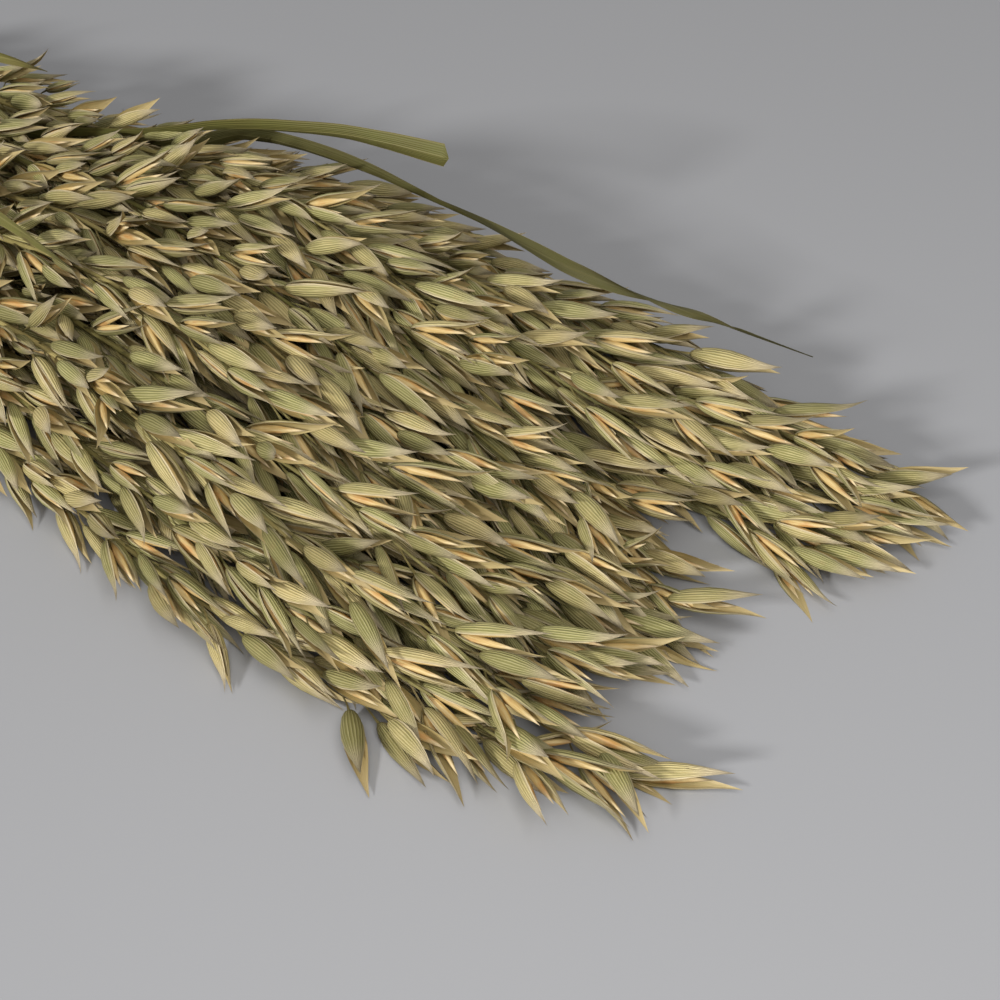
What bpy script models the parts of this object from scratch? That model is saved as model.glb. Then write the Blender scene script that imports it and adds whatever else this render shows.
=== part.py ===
"""A tied bundle of dried oats lying on its side: stalks with their seed heads, leaf blades and a twine tie.

Metres, +Z up. The stalks lie along X with their seed heads at +X, and the bundle rests on Z = 0.
Every piece is one closed body. Each stalk is a single grown piece: a thin culm that widens into its head.
"""
import math

import bmesh
import bpy
import numpy as np

# Driving dimensions of the bundle
CUT_END_X = -0.385              # where the longest culms are cut
TIE_X = -0.250                  # middle of the twine tie
FAN_END_X = 0.005               # where the culms have spread into their lanes
FRONT_X = 0.318                 # farthest seed-head tips
STATION_STEP = 0.015            # distance between the cross-sections in which the stalks are laid
LAYER_STALKS = (11, 10, 8, 5)   # stalks in each layer of heads, from the table up
LAYER_MIDDLE_Y = (-0.008, -0.010, -0.0135, -0.015)
LAYER_SETBACK = (0.0, 0.022, 0.058, 0.100)  # how far each layer's tips stay behind the front line
LANE_SPACING = 0.0154           # between neighbouring heads of one layer
LAYER_RISE = 0.0133             # between the layers
NEAR_DRIFT = 0.008              # how far the -Y side leans out past its lanes towards the front
LOBES_Y = (-0.063, -0.018, 0.058)  # the heads' tips draw together into three lobes
LOBE_PULL = 0.40                # share of the way that they draw together

# The reach of the heads across the bundle, behind FRONT_X: three lobes with notches between them
FRONT_LINE_Y = (-0.092, -0.072, -0.055, -0.038, -0.013, 0.008, 0.024, 0.060, 0.080)
FRONT_LINE_X = (-0.066, -0.022, 0.000, -0.035, -0.022, -0.050, -0.019, -0.015, -0.036)

# One stalk
CULM_RADIUS = 0.0015
HEAD_RADIUS = 0.0072
HEAD_LENGTH = 0.290
HEAD_TIP_RADIUS = 0.0022
STALK_SIDES = 6
SCALE_DEPTH = 0.20              # how far the spikelets' staggered scales step in

# Clearances between touching pieces
STALK_GAP = 0.0008
SEAT_GAP = 0.0003

# Laying the stalks down
SETTLE_STEPS = 700
FREE_STEPS = 600                # after these the stalks are only pushed clear of each other
LANE_PULL = 0.05                # how firmly a stalk keeps to its own lane, sideways
HEIGHT_PULL = 0.012             # and in height
SINKING = 0.00022               # how far it sinks in a step
STIFFNESS = 0.30

# Twine tie
TWINE_RADIUS = 0.0012
TWINE_SIDES = 6
TWINE_TURNS = 3
TWINE_STEPS = 15                # straight steps in a turn
KNOT_HALF_ANGLE = math.radians(34)
TAIL_ANGLE = math.radians(62)
CULM_PACKING = 0.68             # share of the tie's inside that the culms fill
TIE_HALF_WIDTH = 0.030          # stretch over which the culms are held round

# Leaf blades: name, first and last X, angle round the bundle at both (degrees from +Y, over the top),
# how far the blade rides off the heads at every fifth of its length, its width, and the share of
# the width left at the free end
LYING = (0.0, 0.003, 0.003, 0.004, 0.005, 0.007)
LEAVES = (
    ("leaf_long_side", -0.105, 0.240, 30.0, 12.0, (0.0, 0.003, 0.004, 0.006, 0.011, 0.030), 0.0060, 0.15),
    ("leaf_blunt_side", -0.120, 0.120, 84.0, 32.0, (0.0, 0.003, 0.003, 0.005, 0.014, 0.029), 0.0075, 0.90),
    ("leaf_back_top", -0.100, 0.085, 130.0, 146.0, LYING, 0.0060, 0.15),
    ("leaf_back_side", -0.165, -0.045, 45.0, 40.0, LYING, 0.0055, 0.15),
    ("leaf_near_side", -0.170, 0.015, 150.0, 165.0, LYING, 0.0060, 0.15),
    ("leaf_stem_top", -0.220, -0.105, 75.0, 100.0, LYING, 0.0050, 0.15),
    ("leaf_stem_near", -0.222, -0.115, 172.0, 186.0, LYING, 0.0045, 0.15),
    ("leaf_cut_end", -0.345, -0.282, 100.0, 70.0, LYING, 0.0045, 0.30),
)
BLADE_THICKNESS = 0.0006
BLADE_STEP = 0.015

RANDOM_SEED = 11
STALK_COUNT = sum(LAYER_STALKS)
TIE_INNER_RADIUS = (CULM_RADIUS + SEAT_GAP) * math.sqrt(STALK_COUNT / CULM_PACKING)
TURN_RADIUS = (TIE_INNER_RADIUS + SEAT_GAP + TWINE_RADIUS) / math.cos(math.pi / TWINE_STEPS)
TIE_CENTRE_Z = TURN_RADIUS + TWINE_RADIUS


def clear_scene():
    for existing in list(bpy.context.scene.objects):
        bpy.data.objects.remove(existing, do_unlink=True)


def plain_material(name, colour, roughness):
    material = bpy.data.materials.new(name)
    material.use_nodes = True
    shader = material.node_tree.nodes["Principled BSDF"]
    shader.inputs["Base Color"].default_value = (*colour, 1.0)
    shader.inputs["Roughness"].default_value = roughness
    shader.inputs["Metallic"].default_value = 0.0
    return material


def lofted_body(name, rings, material):
    """One closed skin through a list of rings of points, capped at both ends."""
    shape = bmesh.new()
    ring_verts = [[shape.verts.new(point) for point in ring] for ring in rings]
    sides = len(rings[0])
    for ring, following in zip(ring_verts, ring_verts[1:]):
        for side in range(sides):
            after = (side + 1) % sides
            shape.faces.new((ring[side], ring[after], following[after], following[side]))
    shape.faces.new(ring_verts[0])
    shape.faces.new(ring_verts[-1])
    bmesh.ops.recalc_face_normals(shape, faces=shape.faces)
    mesh = bpy.data.meshes.new(name)
    shape.to_mesh(mesh)
    shape.free()
    mesh.materials.append(material)
    mesh.shade_smooth()
    mesh.set_sharp_from_angle(angle=math.radians(50))
    body = bpy.data.objects.new(name, mesh)
    bpy.context.scene.collection.objects.link(body)
    return body


def smooth_step(value, low, high):
    share = np.clip((value - low) / (high - low), 0.0, 1.0)
    return share * share * (3 - 2 * share)


def plan_stalks(rng):
    """Lane, tip, head and cut end of every stalk, layer by layer from the table up."""
    stalks = []
    for layer, count in enumerate(LAYER_STALKS):
        for place in range(count):
            lane_y = LAYER_MIDDLE_Y[layer] + (place - (count - 1) / 2) * LANE_SPACING
            front_x = FRONT_X + np.interp(lane_y, FRONT_LINE_Y, FRONT_LINE_X)
            tip_x = front_x - LAYER_SETBACK[layer] - rng.uniform(-0.004, 0.010)
            stalks.append({
                "lane_y": lane_y,
                "lane_z": HEAD_RADIUS + layer * LAYER_RISE,
                "lobe_y": min(LOBES_Y, key=lambda middle: abs(middle - lane_y)),
                "tip_x": tip_x,
                "head_x": tip_x - HEAD_LENGTH * rng.uniform(0.93, 1.05),
                "cut_x": CUT_END_X + rng.uniform(0.0, 0.030),
                "sway": rng.uniform(0.0025, 0.0065),
                "sway_length": rng.uniform(0.16, 0.30),
                "phase": rng.uniform(0.0, 2 * math.pi),
            })
    return stalks


def stalk_radius(stalk, x):
    """Radius along a stalk: culm, swelling head, narrow tip."""
    share = (x - stalk["head_x"]) / (stalk["tip_x"] - stalk["head_x"])
    swell = smooth_step(share, 0.0, 0.20)
    taper = smooth_step(share, 0.66, 1.0)
    full = CULM_RADIUS + (HEAD_RADIUS - CULM_RADIUS) * swell
    return full + (HEAD_TIP_RADIUS - full) * taper


def wished_place(stalk, x):
    """Where a stalk would lie on its own: gathered at the tie, spread into its lane at the head."""
    splay = 1.0 + 0.75 * smooth_step(-x, -TIE_X, -CUT_END_X)
    tie_y = (stalk["lane_y"] - LAYER_MIDDLE_Y[0]) * TIE_INNER_RADIUS / 0.080 * splay
    tie_z = TIE_CENTRE_Z + (stalk["lane_z"] - 2 * LAYER_RISE) * 0.40 * splay

    lobe = LOBE_PULL * (stalk["lobe_y"] - stalk["lane_y"]) * smooth_step(x, 0.17, FRONT_X)
    drift = -NEAR_DRIFT * (0.5 - stalk["lane_y"] / 0.150) * smooth_step(x, 0.05, 0.20)
    droop = 0.6 * (stalk["lane_z"] - HEAD_RADIUS) * smooth_step(x, stalk["tip_x"] - 0.11, stalk["tip_x"])
    turn = 2 * math.pi * x / stalk["sway_length"] + stalk["phase"]
    lane_y = stalk["lane_y"] + lobe + drift + stalk["sway"] * np.sin(turn)
    lane_z = stalk["lane_z"] - droop + 0.5 * stalk["sway"] * np.cos(turn)

    spread = smooth_step(x, TIE_X, FAN_END_X)
    return np.stack([tie_y + (lane_y - tie_y) * spread, tie_z + (lane_z - tie_z) * spread], axis=-1)


def push_apart(places, radii, present):
    """Move every overlapping pair of one cross-section about half the overlap each."""
    apart = places[:, None] - places[None]
    distance = np.linalg.norm(apart, axis=-1) + 1e-9
    needed = radii[:, None] + radii[None] + STALK_GAP
    both = present[:, None] & present[None] & ~np.eye(len(places), dtype=bool)[:, :, None]
    overlap = np.where(both, np.clip(needed - distance, 0.0, None), 0.0)
    places += 0.45 * (apart * (overlap / distance)[..., None]).sum(axis=1)


def hold_in_tie(places, stations):
    """Keep the culms inside the round of the tie."""
    held = np.abs(stations - TIE_X) <= TIE_HALF_WIDTH + 1e-6
    centre = np.array([0.0, TIE_CENTRE_Z])
    offset = places[:, held] - centre
    distance = np.linalg.norm(offset, axis=-1, keepdims=True)
    limit = TIE_INNER_RADIUS - CULM_RADIUS
    places[:, held] = centre + offset * np.minimum(1.0, limit / np.maximum(distance, 1e-9))


def settle(stalks, stations):
    """Lay the stalks on the table: each keeps to its lane, sinks, and is pushed clear of the others."""
    wished = np.array([wished_place(stalk, stations) for stalk in stalks])
    places = wished.copy()
    radii = np.array([stalk_radius(stalk, stations) for stalk in stalks])
    present = np.array([(stations >= s["cut_x"]) & (stations <= s["tip_x"]) for s in stalks])
    held_up_tips = 1 - 0.8 * smooth_step(stations, 0.21, FRONT_X)
    sinking = SINKING * smooth_step(stations, TIE_X, FAN_END_X) * held_up_tips
    for step in range(SETTLE_STEPS):
        loose = max(0.0, 1.0 - step / FREE_STEPS)
        places[..., 0] += (wished[..., 0] - places[..., 0]) * LANE_PULL * loose
        places[..., 1] += (wished[..., 1] - places[..., 1]) * HEIGHT_PULL * loose
        places[..., 1] -= sinking * loose
        bend = places[:, :-2] + places[:, 2:] - 2 * places[:, 1:-1]
        places[:, 1:-1] += STIFFNESS * loose * bend
        push_apart(places, radii, present)
        hold_in_tie(places, stations)
        places[..., 1] = np.maximum(places[..., 1], radii)
    return places, radii, present


def ring_stations(radii, present):
    """Stations at which one stalk has a ring: all along the head, every second one along the plain culm."""
    shown = np.flatnonzero(present)
    ends = (shown[0], shown[-1])
    return [index for index in shown if radii[index] > CULM_RADIUS * 1.02 or index % 2 == 0 or index in ends]


def straighten_culms(places, radii, present):
    """Let each culm run straight between its rings, so that what is laid on it meets its real skin."""
    for line, thick, shown in zip(places, radii, present):
        rings = ring_stations(thick, shown)
        between = np.arange(rings[0], rings[-1] + 1)
        for side in (0, 1):
            line[between, side] = np.interp(between, rings, line[rings, side])


def stalk_rings(places, radii, present, stations):
    """Rings of a stalk's skin, each flat in X, with the scales of the head staggered from ring to ring."""
    turns = np.arange(STALK_SIDES) * 2 * math.pi / STALK_SIDES - math.pi / 2
    rings = []
    for index in ring_stations(radii, present):
        stagger = (np.arange(STALK_SIDES) + index) % 2
        depth = SCALE_DEPTH * (radii[index] - CULM_RADIUS) / HEAD_RADIUS
        reach = radii[index] * (1.0 - depth * stagger)
        y = places[index, 0] + reach * np.cos(turns)
        z = places[index, 1] + reach * np.sin(turns)
        rings.append(np.column_stack([np.full(STALK_SIDES, stations[index]), y, z]))
    return rings


def clear_reach(centre, outward, half_width, places, radii):
    """How far out a flat strip has to lie to clear every round stalk of one cross-section."""
    along = np.array([-outward[1], outward[0]])
    offset = places - centre
    sideways = np.clip(np.abs(offset @ along) - half_width, 0.0, None)
    over = np.sqrt(np.clip(radii ** 2 - sideways ** 2, 0.0, None))
    reach = np.where(sideways < radii, offset @ outward + over, 0.0)
    return reach.max()


def widest_nearby(values):
    padded = np.concatenate([values[:1], values, values[-1:]])
    return np.maximum(np.maximum(padded[:-2], padded[1:-1]), padded[2:])


def smoothed(values):
    """Each row averaged with its neighbours, a few times over."""
    for _ in range(4):
        padded = np.concatenate([values[:1], values, values[-1:]])
        values = (padded[:-2] + padded[1:-1] + padded[2:]) / 3
    return values


def leaf_rings(leaf, places, radii, present, stations):
    """Thin folded strip that lies on the outside of the bundle and lifts off towards its free end."""
    _, start_x, end_x, start_angle, end_angle, rides, width, end_share = leaf
    count = round((end_x - start_x) / BLADE_STEP) + 1
    xs = np.linspace(start_x, end_x, count)
    share = np.linspace(0.0, 1.0, count)
    angles = np.radians(start_angle + (end_angle - start_angle) * share)
    half_widths = width / 2 * (0.35 + 0.65 * smooth_step(share, 0.0, 0.25))
    half_widths = half_widths * (1.0 - (1.0 - end_share) * smooth_step(share, 0.55, 1.0))
    axis = smoothed(places.mean(axis=0))
    centres = np.column_stack([np.interp(xs, stations, axis[:, side]) for side in (0, 1)])
    outwards = np.column_stack([np.cos(angles), np.sin(angles)])

    reaches = []
    for x, centre, outward, half in zip(xs, centres, outwards, half_widths):
        here = np.array([[np.interp(x, stations, line[:, side]) for side in (0, 1)] for line in places])
        thick = np.array([max(np.interp(x, stations, line), CULM_RADIUS) for line in radii])
        real = np.array([np.interp(x, stations, shown) > 0.01 for shown in present])
        reaches.append(clear_reach(centre, outward, half + SEAT_GAP, here[real], thick[real]))
    clear = np.maximum.accumulate(widest_nearby(np.array(reaches)))
    clear[0] = reaches[0]

    rise = np.interp(share, np.linspace(0.0, 1.0, len(rides)), rides)
    heights = clear + BLADE_THICKNESS / 2 + SEAT_GAP + rise

    rings = []
    for x, centre, outward, height, half in zip(xs, centres, outwards, heights, half_widths):
        along = np.array([-outward[1], outward[0]])
        middle = centre + outward * height
        fold = outward * BLADE_THICKNESS / 2
        points = (middle + along * half, middle + fold, middle - along * half, middle - fold)
        rings.append(np.array([(x, y, z) for y, z in points]))
    return rings


def twine_route():
    """Middle line of the twine: an end, half of the knot, the turns, the other half, the other end."""
    pitch = 2 * TWINE_RADIUS + 0.0005
    strand_apart = TWINE_RADIUS + SEAT_GAP
    knot_radius = TURN_RADIUS + 2 * TWINE_RADIUS + strand_apart + 0.0004

    def place(angle, radius, x):
        return (TIE_X + x, radius * math.sin(angle), TIE_CENTRE_Z + radius * math.cos(angle))

    def knot_strand(phase):
        strand = []
        for share in np.linspace(1.0, -1.0, 9):
            twist = phase + math.pi * share * 0.95
            radius = knot_radius + strand_apart * math.sin(twist)
            strand.append(place(-share * KNOT_HALF_ANGLE, radius, strand_apart * math.cos(twist)))
        return strand

    def turns():
        half_width = pitch * TWINE_TURNS / 2
        total = 2 * math.pi * TWINE_TURNS - 2 * TAIL_ANGLE
        steps = TWINE_STEPS * TWINE_TURNS
        route = []
        for share in np.linspace(0.0, 1.0, steps + 1):
            route.append(place(TAIL_ANGLE + total * share, TURN_RADIUS, half_width * (2 * share - 1)))
        return route

    def tail(side):
        outer = place(side * TAIL_ANGLE, knot_radius + 0.0010, -side * 0.0080)
        inner = place(side * TAIL_ANGLE * 0.8, knot_radius + 0.0016, -side * 0.0040)
        return [inner, outer]

    first_strand = knot_strand(math.pi / 2)
    second_strand = knot_strand(-math.pi / 2)
    return tail(-1)[::-1] + first_strand + turns() + second_strand + tail(1)


def tube_rings(points, radius, sides):
    """Rings square to a smooth line, carried along it without twisting."""
    points = np.array(points)
    directions = np.gradient(points, axis=0)
    directions /= np.linalg.norm(directions, axis=1, keepdims=True)
    normal = np.cross(directions[0], (1.0, 0.0, 0.0))
    turns = np.arange(sides) * 2 * math.pi / sides
    rings = []
    for point, direction in zip(points, directions):
        normal = normal - direction * (normal @ direction)
        normal /= np.linalg.norm(normal)
        sideways = np.cross(direction, normal)
        rings.append([point + radius * (math.cos(t) * normal + math.sin(t) * sideways) for t in turns])
    return rings


def centre_on_origin(bodies):
    """Put the middle of the bundle's box over the origin, with its lowest point on Z = 0."""
    corners = np.array([vertex.co[:] for body in bodies for vertex in body.data.vertices])
    low, high = corners.min(axis=0), corners.max(axis=0)
    shift = -np.array([(low[0] + high[0]) / 2, (low[1] + high[1]) / 2, low[2]])
    for body in bodies:
        for vertex in body.data.vertices:
            vertex.co = vertex.co[:] + shift
        body.data.update()


def build_bundle():
    rng = np.random.default_rng(RANDOM_SEED)
    stations = np.arange(CUT_END_X, FRONT_X + STATION_STEP / 2, STATION_STEP)
    stalks = plan_stalks(rng)
    places, radii, present = settle(stalks, stations)
    straighten_culms(places, radii, present)

    bodies = []
    for number in range(STALK_COUNT):
        name = f"oat_stalk_{number + 1:02d}"
        straw_green = plain_material(name, np.array([0.36, 0.33, 0.16]) * rng.uniform(0.92, 1.08), 0.7)
        rings = stalk_rings(places[number], radii[number], present[number], stations)
        bodies.append(lofted_body(name, rings, straw_green))
    for leaf in LEAVES:
        dry_leaf = plain_material(leaf[0], (0.22, 0.21, 0.07), 0.75)
        bodies.append(lofted_body(leaf[0], leaf_rings(leaf, places, radii, present, stations), dry_leaf))
    twine = plain_material("twine_tie", (0.42, 0.30, 0.17), 0.9)
    bodies.append(lofted_body("twine_tie", tube_rings(twine_route(), TWINE_RADIUS, TWINE_SIDES), twine))
    centre_on_origin(bodies)


clear_scene()
build_bundle()
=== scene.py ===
import math

import bpy
import numpy as np
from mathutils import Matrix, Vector


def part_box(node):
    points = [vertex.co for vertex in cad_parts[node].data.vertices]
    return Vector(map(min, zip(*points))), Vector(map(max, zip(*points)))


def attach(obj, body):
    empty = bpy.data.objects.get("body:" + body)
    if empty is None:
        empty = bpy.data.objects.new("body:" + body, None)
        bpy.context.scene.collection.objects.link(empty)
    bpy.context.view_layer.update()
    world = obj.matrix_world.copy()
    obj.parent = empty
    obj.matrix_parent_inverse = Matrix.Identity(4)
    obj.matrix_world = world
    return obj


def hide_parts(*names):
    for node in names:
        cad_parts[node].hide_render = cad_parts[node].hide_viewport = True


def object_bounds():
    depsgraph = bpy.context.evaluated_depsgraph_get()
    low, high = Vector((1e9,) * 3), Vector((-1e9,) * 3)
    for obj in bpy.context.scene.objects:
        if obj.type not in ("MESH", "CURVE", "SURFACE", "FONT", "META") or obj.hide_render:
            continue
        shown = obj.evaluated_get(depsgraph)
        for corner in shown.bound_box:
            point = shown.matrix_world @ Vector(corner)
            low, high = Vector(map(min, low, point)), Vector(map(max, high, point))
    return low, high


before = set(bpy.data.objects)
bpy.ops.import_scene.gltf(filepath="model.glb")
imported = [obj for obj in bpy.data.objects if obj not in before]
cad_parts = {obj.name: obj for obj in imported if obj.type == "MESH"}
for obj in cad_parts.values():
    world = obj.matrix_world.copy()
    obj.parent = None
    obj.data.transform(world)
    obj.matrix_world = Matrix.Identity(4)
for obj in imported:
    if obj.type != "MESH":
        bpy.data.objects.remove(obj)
cad_low, cad_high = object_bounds()


# ------------------------------------------------------------------------------ the culms
# Each oat stalk is one dried stem, a hollow straw about 3 mm thick with a swollen joint
# every 15 cm or so. Inside the seed head it goes on as the rachis, thin as a bristle.

CULM_RADIUS = 0.00145
CULM_SIZES = (0.85, 1.02)  # the thinnest and the thickest culm, against that radius
RACHIS_TIP_RADIUS = 0.00035
RACHIS_TAPER = 0.6         # below 1, most of its narrowing comes near the tip
CULM_SIDES = 8
CULM_STEP = 0.008          # between the rings of its mesh
BORE_SHARE = 0.62          # of the stem's radius, open where it was cut
BORE_DEPTH = 0.007
JOINT_SWELLING = 0.30      # a joint is this much thicker than the stem
JOINT_LENGTH = 0.0035
JOINT_PLACES = ((0.03, 0.09), (0.17, 0.24))   # from the cut end, within these ranges
RING_GAP = 0.001           # rings of a solid lie farther apart than this along X
SMOOTHINGS = 2             # times that the corners of a line are smoothed
GRAIN_END = 0.04           # of the grain along a stem, taken by the point at either end


def rings_of(node):
    """The rings of points that a stalk's or a leaf's solid is lofted through, along X."""
    points = np.array([tuple(v.co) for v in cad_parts[node].data.vertices])
    points = np.unique(points.round(6), axis=0)
    points = points[np.argsort(points[:, 0], kind="stable")]
    cuts = np.flatnonzero(np.diff(points[:, 0]) > RING_GAP) + 1
    return np.split(points, cuts)


def resampled(values, step):
    """The line through some points at an even step, with its corners smoothed."""
    lengths = np.linalg.norm(np.diff(values[:, :3], axis=0), axis=1)
    at = np.concatenate([[0.0], np.cumsum(lengths)])
    even = np.linspace(0.0, at[-1], max(4, round(at[-1] / step) + 1))
    line = np.stack([np.interp(even, at, column) for column in values.T], axis=1)
    for _ in range(SMOOTHINGS):
        line[1:-1] = (line[:-2] + 2 * line[1:-1] + line[2:]) / 4
    return line


def directions(line, pole=(0.0, 0.0, 1.0)):
    """Along a line, and square to it: sideways, and upwards to the pole."""
    ahead = np.gradient(line, axis=0)
    ahead /= np.linalg.norm(ahead, axis=1, keepdims=True)
    side = np.cross(ahead, pole)
    side /= np.linalg.norm(side, axis=1, keepdims=True)
    return ahead, side, np.cross(side, ahead)


class Form:
    """A mesh in the making. Each corner of a face knows where it lies across and along the
    grain, and each face which strip of the piece's map it belongs to. Strip is one number for
    all the faces, or one for each."""

    def __init__(self, points, faces, grain, strip):
        self.points = points
        self.faces = faces
        self.grain = grain
        self.strip = np.full(len(faces), strip)

    def joined(self, other):
        """This form and another as one."""
        shifted = np.where(other.faces < 0, -1, other.faces + len(self.points))
        return Form(np.concatenate([self.points, other.points]),
                    np.concatenate([self.faces, shifted]),
                    np.concatenate([self.grain, other.grain]),
                    np.concatenate([self.strip, other.strip]))


def turned_over(faces, grain):
    """Faces that look the other way. A face with -1 as its last corner has only three."""
    quads = faces[:, 3] >= 0
    order = np.where(quads[:, None], [3, 2, 1, 0], [2, 1, 0, 3])
    return np.take_along_axis(faces, order, axis=1), np.take_along_axis(grain, order[:, :, None], axis=1)


def skin(grid, along, first=None, last=None, inward=False):
    """Faces over a grid of point numbers, with a fan to one point at either end."""
    rows, columns = grid.shape[0] - 1, grid.shape[1] - 1
    row, column = np.mgrid[:rows, :columns].reshape(2, -1)
    c = np.arange(columns)
    blank = np.full(columns, -1)
    middle = (c + 0.5) / columns
    faces = [np.stack([grid[row, column], grid[row + 1, column],
                       grid[row + 1, column + 1], grid[row, column + 1]], axis=1)]
    across = [np.stack([column, column, column + 1, column + 1], axis=1) / columns]
    place = [np.stack([along[row], along[row + 1], along[row + 1], along[row]], axis=1)]
    if first is not None:
        faces.append(np.stack([np.full(columns, first), grid[0, c], grid[0, c + 1], blank], axis=1))
        across.append(np.stack([middle, c / columns, (c + 1) / columns, middle], axis=1))
        start = np.full(columns, along[0])
        place.append(np.stack([start * 0.0, start, start, start], axis=1))
    if last is not None:
        faces.append(np.stack([grid[-1, c], np.full(columns, last), grid[-1, c + 1], blank], axis=1))
        across.append(np.stack([c / columns, middle, (c + 1) / columns, middle], axis=1))
        end = np.full(columns, along[-1])
        place.append(np.stack([end, np.ones(columns), end, end], axis=1))
    faces = np.concatenate(faces)
    grain = np.stack([np.concatenate(across), np.concatenate(place)], axis=2)
    return turned_over(faces, grain) if inward else (faces, grain)


def tube(line, radii, sides, strip, bore=None, pole=(0.0, 0.0, 1.0)):
    """A round stem along a line, pointed at its far end and pointed or hollow at the near one.
    A bore is given as its share of the radius and its depth."""
    _, side, up = directions(line, pole)
    turn = np.arange(sides) * 2 * np.pi / sides
    rim = side[:, None] * np.cos(turn)[None, :, None] + up[:, None] * np.sin(turn)[None, :, None]
    rings = line[:, None] + rim * radii[:, None, None]
    lengths = np.concatenate([[0.0], np.cumsum(np.linalg.norm(np.diff(line, axis=0), axis=1))])
    along = GRAIN_END + (1 - 2 * GRAIN_END) * lengths / lengths[-1]
    tip = line[-1] + (line[-1] - line[-2]) * 0.3
    if bore:
        share, depth = bore
        inner = line[0] + rim[0] * radii[0] * share
        inward = (line[1] - line[0]) / np.linalg.norm(line[1] - line[0]) * depth
        rings = np.concatenate([[inner + inward, inner], rings])
        along = np.concatenate([[GRAIN_END / 4, GRAIN_END / 1.6], along])
        start = line[0] + inward
    else:
        start = line[0] - (line[1] - line[0]) * 0.2
    count = len(rings)
    grid = np.arange(count * sides).reshape(count, sides)
    grid = np.concatenate([grid, grid[:, :1]], axis=1)
    points = np.concatenate([rings.reshape(-1, 3), [start, tip]])
    faces, grain = skin(grid, along, first=count * sides, last=count * sides + 1)
    return Form(points, faces, grain, strip)


class Socket:
    """One output of a shader node. Sums and products of sockets add Math nodes."""

    def __init__(self, finish, output):
        self.finish = finish
        self.output = output

    def math(self, operation, *others):
        values = dict(enumerate((self, *others)))
        return self.finish.node("ShaderNodeMath", {"operation": operation}, values)

    def __add__(self, other):
        return self.math("ADD", other)

    def __sub__(self, other):
        return self.math("SUBTRACT", other)

    def __rsub__(self, other):
        return self.finish.node("ShaderNodeMath", {"operation": "SUBTRACT"}, {0: other, 1: self})

    def __mul__(self, other):
        return self.math("MULTIPLY", other)

    def __pow__(self, other):
        return self.math("POWER", other)

    def __abs__(self):
        return self.math("ABSOLUTE")

    __radd__ = __add__
    __rmul__ = __mul__

    def between(self, low, high):
        """0 up to the low value and 1 from the high one on, with a soft rise between them."""
        settings = {"interpolation_type": "SMOOTHSTEP"}
        return self.finish.node("ShaderNodeMapRange", settings, {0: self, 1: low, 2: high})


class Finish:
    """A material made of nodes, and the shader that they feed."""

    def __init__(self, name):
        self.material = bpy.data.materials.new(name)
        self.material.use_nodes = True
        self.tree = self.material.node_tree
        self.shader = self.tree.nodes["Principled BSDF"]

    def node(self, kind, settings, values, out=0):
        """A node of this kind: its settings are made first, then the values or links of its
        sockets. A colour is three numbers."""
        made = self.tree.nodes.new(kind)
        for name, value in settings.items():
            setattr(made, name, value)
        for key, value in values.items():
            if isinstance(value, Socket):
                self.tree.links.new(value.output, made.inputs[key])
            elif isinstance(value, tuple) and len(made.inputs[key].default_value) == 4:
                made.inputs[key].default_value = (*value, 1.0)
            else:
                made.inputs[key].default_value = value
        return Socket(self, made.outputs[out])

    def parted(self, vector):
        """The three numbers of a vector or a colour."""
        whole = self.node("ShaderNodeSeparateXYZ", {}, {0: vector})
        return [Socket(self, output) for output in whole.output.node.outputs]

    def grain(self):
        """How far across and along its grain a point lies, each from 0 to 1."""
        return self.parted(self.node("ShaderNodeUVMap", {"uv_map": "grain"}, {}))[:2]

    def tint(self):
        """The three numbers that each stem, spikelet, blade or ply carries of its own."""
        return self.parted(self.node("ShaderNodeAttribute", {"attribute_name": "tint"}, {}))

    def spread(self, x, y, z):
        """Three numbers as one vector."""
        return self.node("ShaderNodeCombineXYZ", {}, {0: x, 1: y, 2: z})

    def noise(self, vector, scale, detail=3.0):
        """Cloudy variation between 0 and 1."""
        values = {"Vector": vector, "Scale": scale, "Detail": detail}
        return self.node("ShaderNodeTexNoise", {}, values)

    def position(self):
        """Where a point lies on its piece, in metres."""
        return self.node("ShaderNodeTexCoord", {}, {}, out=3)

    def mix(self, share, low, high):
        """From one colour to another."""
        return self.node("ShaderNodeMix", {"data_type": "RGBA"}, {0: share, 6: low, 7: high}, out=2)

    def wear(self, colour, roughness, height, depth):
        """Feeds the shader its colour and roughness, and a relief of this depth in metres."""
        bump = self.node("ShaderNodeBump", {}, {"Strength": 1.0, "Distance": depth, "Height": height})
        feeds = {"Base Color": colour, "Roughness": roughness, "Normal": bump}
        for name, source in feeds.items():
            self.tree.links.new(source.output, self.shader.inputs[name])


def srgb(red, green, blue):
    """The linear light of a colour that a paint chart gives from 0 to 255."""
    shares = [value / 255 for value in (red, green, blue)]
    return tuple(s / 12.92 if s < 0.04045 else ((s + 0.055) / 1.055) ** 2.4 for s in shares)


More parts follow.
